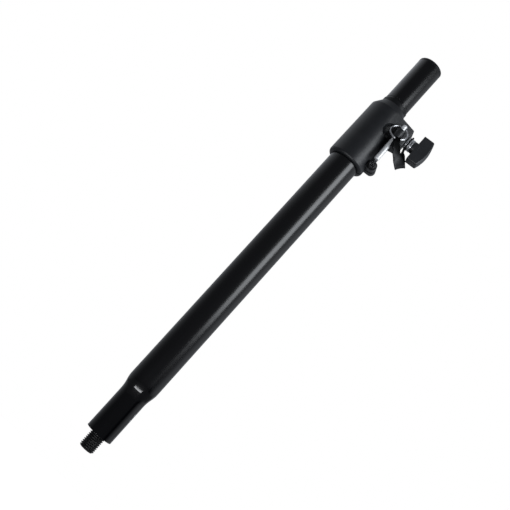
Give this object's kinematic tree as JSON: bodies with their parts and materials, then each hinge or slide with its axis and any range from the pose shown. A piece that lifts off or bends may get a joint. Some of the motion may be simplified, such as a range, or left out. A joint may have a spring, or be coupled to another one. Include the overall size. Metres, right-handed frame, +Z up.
{
  "type": "speaker pole",
  "caption": "Telescopic speaker distance pole with a threaded stud, a moulded clamp collar with T-knob, a parked safety pin on a strap and a sliding inner tube.",
  "frame": {"origin": "centre of the tube's lower end face, where the threaded stud comes out", "axes": "+Z up the pole, +X from the pole's axis towards the clamp knob, -Y to the safety pin's side"},
  "size_m": [0.1013, 0.0536, 0.6475],
  "materials": {
    "black_coat": "semi-gloss powder coat",
    "black_oxide": "black oxide, oiled",
    "moulded_nylon": "fine moulded texture",
    "bush_plastic": "smooth acetal",
    "zinc_steel": "bright zinc",
    "bright_steel": "nickel plated",
    "plug_aluminium": "as turned",
    "insert_brass": "knurled",
    "pad_plastic": "natural acetal",
    "strap_rubber": "matt, slightly worn"
  },
  "bodies": {
    "root": {"outer_tube": "black_coat", "base_plug": "plug_aluminium", "threaded_stud": "black_oxide", "plug_pins": "zinc_steel", "stop_ring": "zinc_steel", "collar_body": "moulded_nylon", "top_bush": "bush_plastic", "collar_screw": "black_oxide", "collar_washers": "black_oxide", "collar_nut": "black_oxide", "clamp_nut": "zinc_steel", "strap_washers": "zinc_steel", "tether_strap": "strap_rubber"},
    "glide": {"wear_ring": "pad_plastic"},
    "inner": {"inner_tube": "black_coat", "inner_cap": "bush_plastic", "inner_guide": "bush_plastic", "guide_rivets": "zinc_steel"},
    "brake": {"brake_pad": "pad_plastic"},
    "knob": {"clamp_screw": "zinc_steel", "knob_insert": "insert_brass", "t_knob": "moulded_nylon", "knob_washer": "zinc_steel"},
    "pin": {"safety_pin": "bright_steel", "split_ring": "bright_steel"}
  },
  "joints": [
    {"name": "height_slide", "type": "slide", "parent": "root", "child": "glide", "axis": [0, 0, 1], "range_m": [0, 0.385]},
    {"name": "pole_turn", "type": "hinge", "parent": "glide", "child": "inner", "pos_m": [0, 0, 0.3], "axis": [0, 0, 1], "continuous": true},
    {"name": "brake_slide", "type": "slide", "parent": "root", "child": "brake", "axis": [1, 0, 0], "range_m": [0, 0.0025]},
    {"name": "knob_turn", "type": "hinge", "parent": "brake", "child": "knob", "pos_m": [0.05, 0, 0.519], "axis": [1, 0, 0], "range_deg": [0, 720]},
    {"name": "pin_lift", "type": "slide", "parent": "root", "child": "pin", "axis": [0, 0, 1], "range_m": [0, 0.055]}
  ],
  "couplings": [
    {"joint": "knob_turn", "follows": "brake_slide", "rad_per_m": 5026.5}
  ]
}
